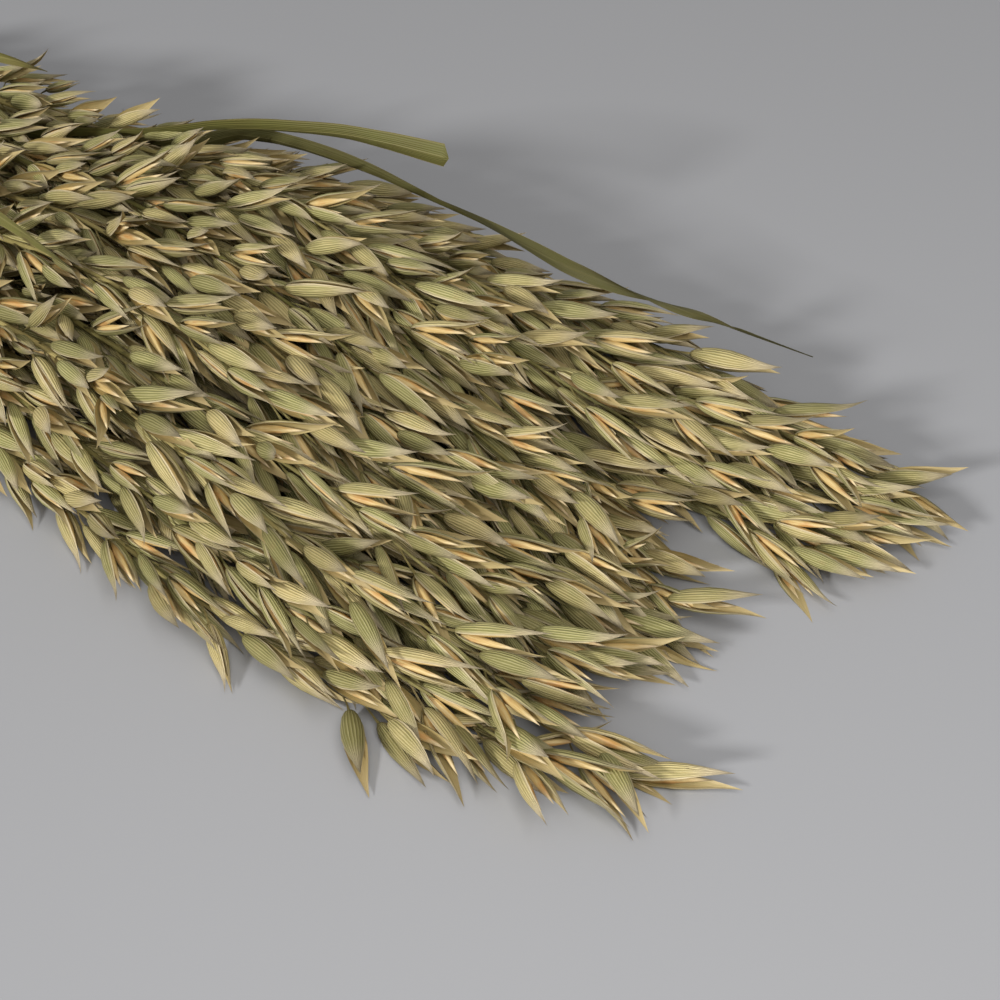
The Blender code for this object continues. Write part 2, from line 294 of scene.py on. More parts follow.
def straw_finish():
    """Dried stem: olive to straw yellow, finely ribbed along its length, brown at the joints."""
    f = Finish("oat_straw")
    across, along = f.grain()
    hue, shade, joint = f.tint()
    cloud = f.noise(f.position(), 160.0)
    fibre = f.noise(f.spread(across * 26.0, along * 24.0, hue * 9.0), 1.0, detail=2.0)
    rib = (across * 2 * math.pi * 11).math("SINE") * 0.5 + 0.5
    colour = f.mix((hue * 0.8 + cloud * 0.9 - 0.4).between(0.0, 1.0),
                   srgb(117, 112, 56), srgb(189, 170, 108))
    colour = f.mix(rib * 0.28, colour, srgb(92, 88, 44))
    colour = f.mix(fibre.between(0.58, 0.80) * 0.45, colour, srgb(206, 190, 140))
    colour = f.mix(joint * 0.75, colour, srgb(86, 66, 32))
    colour = f.mix(shade * 0.30, colour, srgb(64, 56, 30))
    colour = f.mix(1 - along.between(0.0, 0.008), colour, srgb(206, 192, 148))
    f.wear(colour, 0.46 + fibre * 0.2, rib * 0.5 + fibre * 0.5, 0.00012)
    return f.material


# --------------------------------------------------------------------------- the spikelets
# Every spikelet is two boat-shaped papery glumes with about ten ribs, closed round the
# golden florets or sprung open over them. It grew on a branchlet as thin as a hair.

SPIKELET_LENGTH = 0.0280
# how far a glume of each kind of spikelet springs open, least and most in radians, and how
# stout the spikelet is
SPIKELET_KINDS = {
    "closed": (0.0, 0.04, 1.0),
    "slim": (0.0, 0.03, 0.70),
    "open": (0.08, 0.15, 0.97),
    "gaping": (0.16, 0.25, 0.93),
}
GLUME_HALF_WIDTH = 0.00275
GLUME_DEPTH = 0.0023
# how far along a glume lies each row of its mesh, and its share there of the width and the depth
GLUME_ROWS = (0.015, 0.06, 0.14, 0.27, 0.42, 0.57, 0.71, 0.83, 0.93)
GLUME_WIDE = (0.28, 0.54, 0.79, 0.98, 1.00, 0.82, 0.55, 0.30, 0.12)
GLUME_DEEP = (0.34, 0.64, 0.88, 1.00, 0.96, 0.76, 0.48, 0.25, 0.09)
GLUME_ACROSS = 6           # faces across its back
GLUME_WITHIN = 2           # faces across its hollow side
INNER_SHARE = 0.80         # of the back's depth, the depth of the hollow side
HOOK_START = 0.60          # of a glume's length, from where its tip bends outwards
FLORET_LENGTH = 0.0185
FLORET_START = 0.0010      # above the spikelet's base
FLORET_APART = 0.0009      # each of two florets lies this far off the middle
FLORET_SLANT = 0.55        # of its glume's least opening, followed by a floret
FLORET_ROWS = (0.06, 0.26, 0.50, 0.78)
FLORET_THICK = (0.55, 1.00, 0.82, 0.38)
FLORET_RADIUS = 0.00135
BRANCHLET_RADIUS = 0.00028
BRANCHLET_THICK = (1.0, 0.9, 1.0, 1.7)   # its rings, against that radius
BRANCHLET_SIDES = 3
BRANCHLET_BEND = 0.45      # of its reach, over which it runs straight into the spikelet
BRANCHLET_GRIP = 0.0004    # that it goes into the spikelet


def boat(rim, middle, along, base, tip, strips):
    """A thin closed husk or blade. Rim holds the points of its back, row by row from edge to
    edge, and middle those of its hollow side, which shares the edges. Strips are the two sides'."""
    rows, outer = rim.shape[:2]
    inner = middle.shape[1]
    back = np.arange(rows * outer).reshape(rows, outer)
    hollow = rows * outer + np.arange(rows * inner).reshape(rows, inner)
    hollow = np.concatenate([back[:, :1], hollow, back[:, -1:]], axis=1)
    first = rows * (outer + inner)
    points = np.concatenate([rim.reshape(-1, 3), middle.reshape(-1, 3), [base, tip]])
    outside = skin(back, along, first, first + 1)
    inside = skin(hollow, along, first, first + 1, inward=True)
    faces, grain = (np.concatenate(pair) for pair in zip(outside, inside))
    return Form(points, faces, grain, np.repeat(strips, [len(outside[0]), len(inside[0])]))


def glume(side, length, width, depth, opening, bow, lean, hook, strips):
    """One glume along +X, its back up for side 1 and down for side -1."""
    along = np.array(GLUME_ROWS)
    half = width * GLUME_HALF_WIDTH * np.array(GLUME_WIDE)
    deep = depth * GLUME_DEPTH * np.array(GLUME_DEEP)

    def section(count, share):
        u = np.linspace(-1.0, 1.0, count + 1)
        y = half[:, None] * np.sin(u * np.pi / 2)
        z = deep[:, None] * share * np.cos(u * np.pi / 2) ** 0.85
        x = np.repeat(along[:, None] * length, count + 1, axis=1)
        return np.stack([x, y, z], axis=2)

    tip = np.array([length, 0.0, 0.0])
    form = boat(section(GLUME_ACROSS, 1.0), section(GLUME_WITHIN, INNER_SHARE)[:, 1:-1],
                along, np.zeros(3), tip, strips)
    x, y, z = form.points.T
    share = x / length
    late = np.clip((share - HOOK_START) / (1 - HOOK_START), 0.0, 1.0) ** 2
    z = z + length * (bow * share * (1 - share) + hook * late)
    y = y + length * lean * share ** 2
    form.points = np.stack([x * math.cos(opening) - z * math.sin(opening), y,
                            z * math.cos(opening) + x * math.sin(opening)], axis=1)
    if side < 0:
        form.points[:, 2] *= -1
        form.faces, form.grain = turned_over(form.faces, form.grain)
    return form


def floret(length, offset, slant, strip, sides=5):
    """A golden floret inside the glumes: a slender grain, round below and pointed above."""
    share = np.array(FLORET_ROWS)
    turn = np.arange(sides) * 2 * np.pi / sides
    wide = FLORET_RADIUS * np.array(FLORET_THICK)
    rings = np.stack([
        np.repeat((FLORET_START + share * length)[:, None], sides, axis=1),
        wide[:, None] * np.cos(turn) * -1,
        wide[:, None] * np.sin(turn) + offset + slant * (share * length)[:, None]], axis=2)
    grid = np.arange(rings.shape[0] * sides).reshape(-1, sides)
    grid = np.concatenate([grid, grid[:, :1]], axis=1)
    ends = [(FLORET_START * 0.8, 0.0, offset), (FLORET_START + length, 0.0, offset + slant * length)]
    points = np.concatenate([rings.reshape(-1, 3), ends])
    faces, grain = skin(grid, share, first=len(points) - 2, last=len(points) - 1)
    return Form(points, faces, grain, strip)


def spikelet(rng, kind):
    """One pattern of spikelet along +X, with its base at the origin. Its strips are the backs of
    the two glumes, their hollows, then the florets: one in a closed spikelet, two in an open one."""
    low, high, girth = SPIKELET_KINDS[kind]
    whole = None
    for number, side in enumerate((1, -1)):
        opening = rng.uniform(low, high)
        half = glume(
            side,
            length=SPIKELET_LENGTH * rng.uniform(0.93, 1.0 if side > 0 else 0.97),
            width=girth * rng.uniform(0.74, 1.06),
            depth=girth * rng.uniform(0.90, 1.10),
            opening=opening,
            bow=rng.uniform(-0.02, 0.10),
            lean=rng.uniform(-0.09, 0.09),
            hook=rng.uniform(-0.02, 0.09),
            strips=(number, 2 + number))
        whole = half if whole is None else whole.joined(half)
    florets = 1 if low == 0.0 else 2
    for number in range(florets):
        side = 1 - 2 * number
        offset = side * FLORET_APART * (florets - 1)
        grown = FLORET_LENGTH * rng.uniform(0.86, 1.10)
        whole = whole.joined(floret(grown, offset, side * FLORET_SLANT * low, 4 + number))
    return whole


def husk_finish():
    """Glume paper: sage green with pale ribs, ripening to straw, bleached along its edges."""
    f = Finish("oat_husk")
    across, along = f.grain()
    hue, shade, seed = f.tint()
    cloud = f.noise(f.position(), 240.0)
    fibre = f.noise(f.spread(across * 34.0, along * 4.0, seed * 40.0), 1.0, detail=2.0)
    stain = f.noise(f.spread(across * 3.0, along * 5.0, seed * 70.0), 1.0, detail=3.0)
    wander = (fibre - 0.5) * 0.05
    rib = ((across + wander) * 2 * math.pi * 10).math("COSINE") * 0.5 + 0.5
    edge = abs(across * 2 - 1)
    ripe = hue * 0.9 + along * 0.30 + cloud * 0.6 - 0.55
    colour = f.mix(ripe.between(0.0, 1.0), srgb(158, 153, 90), srgb(220, 194, 132))
    bare = (1 - along.between(0.78, 1.0)) * along.between(0.0, 0.10)
    colour = f.mix(rib ** 1.6 * bare * 0.50, colour, srgb(216, 206, 152))
    colour = f.mix((1 - rib) ** 3 * bare * 0.50, colour, srgb(108, 104, 52))
    colour = f.mix(fibre.between(0.56, 0.85) * 0.30, colour, srgb(214, 202, 158))
    colour = f.mix(stain.between(0.62, 0.80) * 0.30, colour, srgb(172, 140, 92))
    paper = (edge.between(0.76, 1.0) * 0.70).math("MAXIMUM", along.between(0.52, 0.90) * 0.90)
    colour = f.mix(paper, colour, srgb(232, 213, 176))
    colour = f.mix((1 - along.between(0.0, 0.09)) * 0.55, colour, srgb(196, 184, 120))
    colour = f.mix(shade * 0.54, colour, srgb(92, 82, 40))
    f.wear(colour, 0.50 + cloud * 0.2, rib * 0.75 + fibre * 0.25, 0.00030)
    return f.material


def inside_with_painted_shade_finish():
    """Inside of a glume: smooth, yellower than its back, its own pale straw darkened as painted shade
    for the hollow.
    """
    f = Finish("oat_husk_inside_painted_shade")
    across, along = f.grain()
    _, shade, seed = f.tint()
    fibre = f.noise(f.spread(across * 20.0, along * 3.0, seed * 35.0), 1.0, detail=2.0)
    # Painted shade: both colours are the inside's own pale straw, darkened to stand in for the shade
    # that falls in the glume's hollow.
    colour = f.mix((fibre * 0.7 + along * 0.5 - 0.1).between(0.2, 0.9),
                   srgb(160, 144, 88), srgb(202, 181, 132))
    colour = f.mix(shade * 0.30, colour, srgb(120, 92, 56))
    f.wear(colour, 0.40 + fibre * 0.15, fibre, 0.00010)
    return f.material


def kernel_finish():
    """Floret: cream to golden, with an orange-tan flush in patches and a pale tip."""
    f = Finish("oat_kernel")
    across, along = f.grain()
    _, _, seed = f.tint()
    fibre = f.noise(f.spread(across * 20.0, along * 3.0, seed * 30.0), 1.0, detail=2.0)
    flush = f.noise(f.spread(across * 3.0, along * 2.5, seed * 50.0), 1.0)
    colour = f.mix(fibre.between(0.3, 0.7), srgb(204, 172, 108), srgb(222, 198, 140))
    colour = f.mix(flush.between(0.48, 0.70) * 0.60, colour, srgb(194, 132, 68))
    colour = f.mix(along.between(0.60, 0.95) * 0.7, colour, srgb(228, 210, 172))
    f.wear(colour, 0.42 + fibre * 0.15, fibre, 0.00012)
    return f.material


# ----------------------------------------------------------------------------- the stalks
# The bunch holds thirty-four stalks. Each carries a seed head of about sixty spikelets, which
# dried lying along the rachis like shingles, their tips standing off it all round.

RACHIS_STEP = 0.002        # between the places where a branchlet may spring
SPIKELET_PITCH = 0.0043    # along the rachis, from one spikelet to the next
GOLDEN_ANGLE = math.radians(137.5)
HEAD_REACH = 0.0072        # of a head's spikelets round its rachis
TIP_ROOM = 0.015           # the last spikelet springs this far before the head's end
TILT_WITHIN = 11.0         # degrees that a spikelet stands off the rachis among its neighbours
TILT_OUTSIDE = 18.0        # and on the free side of the bunch
TILT_SPREAD = 6.0          # degrees
TILT_LATE = 5.0            # degrees that this spread gains at the very tip
SWING_SPREAD = 9.0         # degrees that it swings to one side
SWING_LATE = 6.0           # degrees that this spread gains at the very tip
TURN_SPREAD = 0.7          # radians that it is tried either way round the rachis
ROLL_SPREAD = 0.40         # radians that it rolls about its own length
ON_EDGE = 0.40             # of the spikelets, that show the side where their glumes meet
SPIKELET_SIZES = (0.86, 1.08)   # the smallest and the largest, against its pattern
STANDING_OFF = (0.0022, 0.0046)   # of a spikelet's base from the rachis, least and most
NARROWING = 0.45           # of that, lost at the head's tip
LOWER_BRANCHES = 1.4       # the lowest branches reach this much further out
LOWER_SHARE = 0.25         # of the head, where they do
TIP_BRANCHES = 0.8         # the topmost branches reach this much further out
TIP_START = 0.82           # of the head, from where they do and the spikelets stand wilder
TIP_THINNING = 0.30        # of the spikelets that are missing at the very tip
TOPMOST = 0.92             # of the head, from where most spikelets have sprung open
HEAD_LEAD = 0.080          # the lowest, scattered spikelets spring this far before the full head
SCATTERING = 1.4           # their pitch, against that of the others
TRIES = 8                  # places that are tried for a spikelet
BALL_SHARES = (0.08, 0.25, 0.44, 0.64, 0.84)   # balls along a spikelet that stand for its room
BALL_RADII = (0.0017, 0.0027, 0.0025, 0.0017, 0.0007)
AHEAD_BY = 0.010           # a spikelet lies this far ahead of where it springs, and one that
NEARNESS = 0.040           # lies farther off than this along X can't press on it
MOST_PRESSING = 0.012      # a spikelet that would press deeper than this isn't there
MOST_ASTRAY = 0.013        # nor is one that would stand out this far beside the bunch
LOOKS = 18                 # directions in which a spikelet may be seen
LOWEST_LOOK = -0.15        # the sine of the lowest one's slope
LOOK_STEPS = (0.007, 0.013, 0.020, 0.028, 0.038)   # at which another head may stand in the way
NEIGHBOUR_STEPS = (0.010, 0.015)
MOST_HIDDEN = 0.98         # of those directions: deeper in, only some spikelets are made
HIDDEN_KEPT = 0.45         # this share of them
FLOOR_SOFTNESS = 0.0016    # below this height a spikelet is pressed flat by the table

stalk_names = sorted(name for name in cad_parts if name.startswith("oat_stalk_"))
stalk_lines = {}
for name in stalk_names:
    rings = rings_of(name)
    middles = np.array([ring.mean(axis=0) for ring in rings])
    reach = np.array([np.linalg.norm(ring - m, axis=1).mean() for ring, m in zip(rings, middles)])
    stalk_lines[name] = np.column_stack([middles, reach])


def head_start(name):
    """Where along X the spikelets of a stalk begin."""
    line = stalk_lines[name]
    return line[np.argmax(line[:, 3] > 2 * CULM_RADIUS), 0]


def blocked_looks(points, looks, steps, name):
    """For each point, the share of some directions in which another stalk's head stands near."""
    blocked = np.zeros((len(points), looks.shape[1]), bool)
    for step in steps:
        seen = points[:, None] + looks * step
        for other, line in stalk_lines.items():
            if other == name:
                continue
            inside = (seen[:, :, 0] > head_start(other)) & (seen[:, :, 0] < line[-1, 0])
            y = np.interp(seen[:, :, 0], line[:, 0], line[:, 1])
            z = np.interp(seen[:, :, 0], line[:, 0], line[:, 2])
            near = np.hypot(seen[:, :, 1] - y, seen[:, :, 2] - z) < HEAD_REACH
            blocked |= inside & near
    return blocked.mean(axis=1)


def sky():
    """Directions spread evenly over the half of space above the table."""
    number = np.arange(LOOKS) + 0.5
    height = LOWEST_LOOK + (1 - LOWEST_LOOK) * number / LOOKS
    turn = number * GOLDEN_ANGLE
    flat = np.sqrt(1 - height ** 2)
    return np.stack([flat * np.cos(turn), flat * np.sin(turn), height], axis=1)


def turned(ahead, outward, roll):
    """Axes of a spikelet that points ahead and shows a glume's back outwards, rolled."""
    ahead = ahead / np.linalg.norm(ahead)
    side = np.cross(outward, ahead)
    side = side / np.linalg.norm(side)
    up = np.cross(ahead, side)
    side, up = side * math.cos(roll) + up * math.sin(roll), up * math.cos(roll) - side * math.sin(roll)
    return np.stack([ahead, side, up])


def pressed(points):
    """Points that would lie in the table, pressed flat on it."""
    z = points[:, 2]
    flat = FLOOR_SOFTNESS * np.exp((np.minimum(z, FLOOR_SOFTNESS) - FLOOR_SOFTNESS) / FLOOR_SOFTNESS)
    return np.column_stack([points[:, :2], np.where(z < FLOOR_SOFTNESS, flat, z)])


def branchlet(root, base, ahead):
    """The hair-thin stalk that bends from the rachis to a spikelet's base and thickens there."""
    reach = np.linalg.norm(base - root)
    radii = np.array(BRANCHLET_THICK) * BRANCHLET_RADIUS
    share = np.linspace(0.0, 1.0, len(radii))[:, None]
    control = base - ahead * reach * BRANCHLET_BEND
    line = root * (1 - share) ** 2 + 2 * control * share * (1 - share) + base * share ** 2
    return tube(line, radii, BRANCHLET_SIDES, BRANCHLET)


SIDE_MARGIN = 0.02         # of a cell's width, left free on either side
STRIP_MARGIN = 0.06        # of a strip's height, left free below and above
SHARP_ANGLE = math.radians(80)


def make_piece(name, forms, cells, tints, strips):
    """Makes one mesh of many forms, each in its own cell (left, bottom, width, height) of the
    piece's map. Strips lists the bottom, height and material of every strip in a cell."""
    points = np.concatenate([form.points for form in forms])
    counts = [len(form.points) for form in forms]
    starts = np.concatenate([[0], np.cumsum(counts)[:-1]])
    faces = np.concatenate([np.where(form.faces < 0, -1, form.faces + start)
                            for form, start in zip(forms, starts)])
    grain = np.concatenate([form.grain for form in forms])
    strip = np.concatenate([form.strip for form in forms])
    cell = np.repeat(np.array(cells), [len(form.faces) for form in forms], axis=0)
    bottom, height = np.array([(low, high) for low, high, _ in strips]).T
    left_right = SIDE_MARGIN + (1 - 2 * SIDE_MARGIN) * grain[:, :, 1]
    within = STRIP_MARGIN + (1 - 2 * STRIP_MARGIN) * grain[:, :, 0]
    low_high = bottom[strip][:, None] + height[strip][:, None] * within
    atlas = np.stack([cell[:, 0:1] + cell[:, 2:3] * left_right,
                      cell[:, 1:2] + cell[:, 3:4] * low_high], axis=2)
    real = faces >= 0
    mesh = bpy.data.meshes.new(name)
    mesh.vertices.add(len(points))
    mesh.vertices.foreach_set("co", points.astype(np.float32).ravel())
    sizes = real.sum(axis=1)
    mesh.loops.add(int(sizes.sum()))
    mesh.loops.foreach_set("vertex_index", faces[real].astype(np.int32))
    mesh.polygons.add(len(faces))
    loop_starts = np.concatenate([[0], np.cumsum(sizes)[:-1]])
    mesh.polygons.foreach_set("loop_start", loop_starts.astype(np.int32))
    finishes = list(dict.fromkeys(finish for _, _, finish in strips))
    for finish in finishes:
        mesh.materials.append(finish)
    worn = np.array([finishes.index(finish) for _, _, finish in strips])[strip]
    mesh.polygons.foreach_set("material_index", worn.astype(np.int32))
    for layer, places in (("grain", grain), ("OFBake", atlas)):
        made = mesh.uv_layers.new(name=layer, do_init=False)
        made.uv.foreach_set("vector", places[real].astype(np.float32).ravel())
    colour = np.concatenate([np.column_stack([tint, np.ones(len(tint))]) for tint in tints])
    made = mesh.attributes.new("tint", "FLOAT_COLOR", "POINT")
    made.data.foreach_set("color", colour.astype(np.float32).ravel())
    mesh.update()
    mesh.validate()
    mesh.shade_smooth()
    mesh.set_sharp_from_angle(angle=SHARP_ANGLE)
    piece = bpy.data.objects.new(name, mesh)
    bpy.context.scene.collection.objects.link(piece)
    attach(piece, "root")
    return piece


def joint_mask(x, joints):
    """1 at the middle of each swollen joint, falling to 0 beside it."""
    return sum(np.exp(-((x - joint) / JOINT_LENGTH) ** 2) for joint in joints)


def stem_of(name, rng):
    """The culm and its rachis, and the tint of its points."""
    line = resampled(stalk_lines[name][:, :3], CULM_STEP)
    start = head_start(name)
    taper = np.clip((line[:, 0] - start) / (line[-1, 0] - start), 0.0, 1.0)
    reached = line[:, 0] < line[-1, 0] - TIP_ROOM
    line, taper = line[reached], taper[reached]
    thick = CULM_RADIUS * rng.uniform(*CULM_SIZES)
    radii = thick + (RACHIS_TIP_RADIUS - thick) * taper ** RACHIS_TAPER
    joints = line[0, 0] + np.array([rng.uniform(*place) for place in JOINT_PLACES])
    swollen = joint_mask(line[:, 0], joints)
    radii = radii * (1 + JOINT_SWELLING * swollen)
    form = tube(line, radii, CULM_SIDES, STEM, bore=(BORE_SHARE, BORE_DEPTH))
    tint = np.zeros((len(form.points), 3))
    tint[:, 0] = rng.uniform(0.0, 1.0)
    tint[:, 1] = rng.uniform(0.0, 0.6)
    tint[:, 2] = joint_mask(form.points[:, 0], joints)
    return form, tint


def body_balls(base, axes, scale):
    """A spikelet's room, as a row of balls along it: their middles and radii."""
    middles = base + np.outer(np.array(BALL_SHARES) * SPIKELET_LENGTH * scale, axes[0])
    return middles, np.array(BALL_RADII) * scale


def place_head(name, rng, taken):
    """Finds each spikelet of one stalk a place along its rachis: of a few tries, the one that
    presses least on the spikelets already there, whose balls are in taken."""
    line = resampled(stalk_lines[name][:, :3], RACHIS_STEP)
    ahead, side, up = directions(line)
    start, end = head_start(name), line[-1, 0] - TIP_ROOM
    lead = HEAD_LEAD * rng.uniform(0.6, 1.1)
    sparse = np.arange(start - lead, start, SCATTERING * SPIKELET_PITCH)
    places = np.concatenate([sparse, np.arange(start, end, SPIKELET_PITCH)])
    index = np.searchsorted(line[:, 0], places).clip(0, len(line) - 1)
    first_turn = rng.uniform(0.0, 2 * math.pi)
    looks = sky()[None]
    grown = []
    for number, at in enumerate(index):
        progress = number / len(index)
        slender = 1 - NARROWING * progress ** 3
        late = max(0.0, progress - TIP_START) / (1 - TIP_START)
        longer = 1 + LOWER_BRANCHES * max(0.0, 1 - progress / LOWER_SHARE) + TIP_BRANCHES * late
        turn = first_turn + number * GOLDEN_ANGLE
        out = side[at] * math.cos(turn) + up[at] * math.sin(turn)
        crowded = blocked_looks(line[at][None], out[None, None], NEIGHBOUR_STEPS, name)[0]
        stands = TILT_WITHIN if crowded else TILT_OUTSIDE
        scale = rng.uniform(*SPIKELET_SIZES)
        keep = rng.uniform()
        best = None
        near = taken[np.abs(taken[:, 0] - line[at, 0] - AHEAD_BY) < NEARNESS]
        for _ in range(TRIES):
            swung = turn + rng.uniform(-TURN_SPREAD, TURN_SPREAD)
            outward = side[at] * math.cos(swung) + up[at] * math.sin(swung)
            tilt = math.radians(abs(rng.normal(stands, TILT_SPREAD + TILT_LATE * late)))
            swing = math.radians(rng.normal(0.0, SWING_SPREAD + SWING_LATE * late))
            across = np.cross(ahead[at], outward)
            aim = ahead[at] * math.cos(tilt) + outward * math.sin(tilt) + across * math.sin(swing)
            base = line[at] + outward * rng.uniform(*STANDING_OFF) * slender * longer
            roll = rng.choice([0.0, math.pi / 2], p=[1 - ON_EDGE, ON_EDGE])
            roll += rng.normal(0.0, ROLL_SPREAD)
            axes = turned(aim, outward, roll)
            middles, radii = body_balls(base, axes, scale)
            apart = np.linalg.norm(middles[:, None] - near[None, :, :3], axis=2)
            pressing = np.clip(radii[:, None] + near[None, :, 3] - apart, 0.0, None).sum()
            pressing += np.clip(radii - middles[:, 2], 0.0, None).sum()
            if best is None or pressing < best[0]:
                best = (pressing, base, axes, np.column_stack([middles, radii]))
        pressing, base, axes, balls = best
        middle = base + axes[0] * SPIKELET_LENGTH * 0.45
        hidden = blocked_looks(middle[None], looks, LOOK_STEPS, name)[0]
        unseen = hidden > MOST_HIDDEN and keep > HIDDEN_KEPT
        missing = unseen or pressing > MOST_PRESSING or keep < TIP_THINNING * late
        if missing and number < len(index) - 2:
            continue
        taken = np.concatenate([taken, balls])
        back = max(at - int(rng.uniform(3, 6)), 0)
        first = kinds.index("open") if progress > TOPMOST else 0
        grown.append((base, axes, scale, rng.integers(first, len(kinds)), line[back]))
    return grown, taken


def grow_head(grown, rng, patterns):
    """The spikelets in their places, each with its branchlet, as forms with their tints."""
    forms, tints = [], []
    for base, axes, scale, choice, root in grown:
        pattern = patterns[choice]
        placed = pattern.points * scale @ axes + base
        body = Form(placed, pattern.faces, pattern.grain, pattern.strip)
        form = body.joined(branchlet(root, base + axes[0] * BRANCHLET_GRIP, axes[0]))
        form.points = pressed(form.points)
        tint = (rng.uniform(0.0, 1.0), rng.uniform(0.0, 1.0) ** 2, rng.uniform())
        tip = base + axes[0] * SPIKELET_LENGTH * scale
        if cad_low[1] - MOST_ASTRAY < tip[1] < cad_high[1] + MOST_ASTRAY:
            forms.append(form)
            tints.append(np.tile(tint, (len(form.points), 1)))
    return forms, tints


rng = np.random.default_rng(7)
# hollow is the glumes' inside material, its pale straw partly darkened as painted shade.
straw, husk, hollow, kernel = straw_finish(), husk_finish(), inside_with_painted_shade_finish(), kernel_finish()
kinds = ["closed"] * 8 + ["slim"] * 2 + ["open"] * 4 + ["gaping"] * 2
patterns = [spikelet(rng, kind) for kind in kinds]
BRANCHLET, STEM = 6, 7     # strips of the map, after the six of a spikelet
STALK_STRIPS = (
    (0.00, 0.27, husk), (0.27, 0.27, husk), (0.54, 0.11, hollow), (0.65, 0.11, hollow),
    (0.76, 0.09, kernel), (0.85, 0.09, kernel), (0.94, 0.06, straw), (0.00, 1.00, straw))
STEM_ROOM = 0.07           # of the map's height, for the culm
CELL_SHAPE = 1.45          # columns of cells in the map for each of its rows

taken = np.zeros((0, 4))
grown_heads = {}
for name in reversed(stalk_names):
    grown_heads[name], taken = place_head(name, rng, taken)

for name in stalk_names:
    stem, stem_tint = stem_of(name, rng)
    heads, head_tints = grow_head(grown_heads[name], rng, patterns)
    map_rows = math.ceil(math.sqrt(len(heads) / CELL_SHAPE))
    map_columns = math.ceil(len(heads) / map_rows)
    cell_width, cell_height = 1 / map_columns, (1 - STEM_ROOM) / map_rows
    cells = [(0.0, 0.0, 1.0, STEM_ROOM)]
    for number in range(len(heads)):
        row, column = divmod(number, map_columns)
        cells.append((column * cell_width, STEM_ROOM + row * cell_height, cell_width, cell_height))
    piece = make_piece(name.replace("stalk", "stalk_look"), [stem, *heads], cells,
                       [stem_tint, *head_tints], STALK_STRIPS)
    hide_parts(name)


# ------------------------------------------------------------------------ the leaf blades
# Long ribbons of dried leaf, ribbed along their length and folded along the midrib. They grew
# on the stalks below the heads and dried lying over the bunch.

BLADE_STEP = 0.002
BLADE_ACROSS = 8           # faces across the blade
BLADE_WITHIN = 4           # and across its underside
BLADE_THICKNESS = 0.00022
BLADE_FOLD = 0.22          # of its half width, the height of the fold along its midrib
BLADE_WAVE = 0.10          # of its half width, how far its edges wander
BLADE_TAPER = 0.6          # how strongly a blade narrows where its solid does
BLADE_TIP = 0.10           # of its length, over which a pointed blade runs out to its point
BLADE_RISE = 0.40          # of its length, over which it comes up out of the stalks
BLADE_GRAIN_END = 0.03     # of the grain along it, taken by the point at either end
WINDING_END = 0.94         # of its length, from where it turns no further
SWAY = 0.25                # radians that it sways either way as it turns
# how far round each blade turns on the way to its free end and how late, how far it rolls up,
# how green and how dark it has dried, how deep its root lies, and where it is out of the stalks
BLADES = {
    "leaf_long_side": (12.6, 8, 0.5, 0.75, 1.00, 0.008, 0.60),
    "leaf_blunt_side": (-0.38, 2, 0.30, 0.70, 0.70, 0.013, 0.90),
    "leaf_back_top": (0.5, 2, 0.5, 0.55, 0.45, 0.007, 0.70),
    "leaf_back_side": (2.8, 2, 0.6, 0.45, 0.30, 0.005, 0.50),
    "leaf_near_side": (-0.6, 2, 0.7, 0.60, 0.40, 0.007, 0.70),
    "leaf_stem_top": (0.7, 2, 0.8, 0.15, 0.20, 0.005, 0.60),
    "leaf_stem_near": (-0.9, 2, 0.8, 0.20, 0.25, 0.003, 0.60),
    "leaf_cut_end": (1.2, 2, 0.6, 0.10, 0.20, 0.005, 0.60),
}


def leaf_finish():
    """Dried leaf: moss green to khaki with fine parallel veins, a paler midrib and brown spots."""
    f = Finish("oat_leaf")
    across, along = f.grain()
    green, shade, seed = f.tint()
    cloud = f.noise(f.position(), 90.0)
    fibre = f.noise(f.spread(across * 30.0, along * 14.0, seed * 25.0), 1.0, detail=3.0)
    blotch = f.noise(f.spread(across * 2.0, along * 22.0, seed * 61.0), 1.0, detail=4.0)
    vein = (across * 2 * math.pi * 12).math("COSINE") * 0.5 + 0.5
    midrib = 1 - abs(across * 2 - 1).between(0.04, 0.16)
    edge = abs(across * 2 - 1).between(0.82, 1.0)
    fresh = green * 0.9 + cloud * 0.6 - 0.3
    colour = f.mix(fresh.between(0.0, 1.0), srgb(128, 112, 62), srgb(140, 142, 66))
    colour = f.mix((vein * 0.5 + fibre * 0.5).between(0.35, 0.85) * 0.5, colour, srgb(92, 90, 42))
    colour = f.mix(midrib * 0.45, colour, srgb(176, 166, 104))
    colour = f.mix(edge * 0.55, colour, srgb(178, 160, 104))
    colour = f.mix(blotch.between(0.60, 0.75) * 0.5, colour, srgb(88, 66, 36))
    colour = f.mix(shade * 0.8, colour, srgb(58, 52, 17))
    f.wear(colour, 0.54 + fibre * 0.2, vein * 0.5 + fibre * 0.5 + midrib * 0.5, 0.00018)
    return f.material


def blade_middle(node):
    """Middle line of a leaf's solid, with the way from the middle to its edge, ring by ring."""
    rows = []
    for ring in rings_of(node):
        pairs = [(a, b) for a in range(len(ring)) for b in range(a)]
        one, other = max(pairs, key=lambda pair: np.linalg.norm(ring[pair[0]] - ring[pair[1]]))
        edge = ring[one] - ring[other]
        if rows and edge @ rows[-1][3:6] < 0:
            edge = -edge
        rows.append(np.concatenate([ring.mean(axis=0), edge / 2]))
    return resampled(np.array(rows), BLADE_STEP)


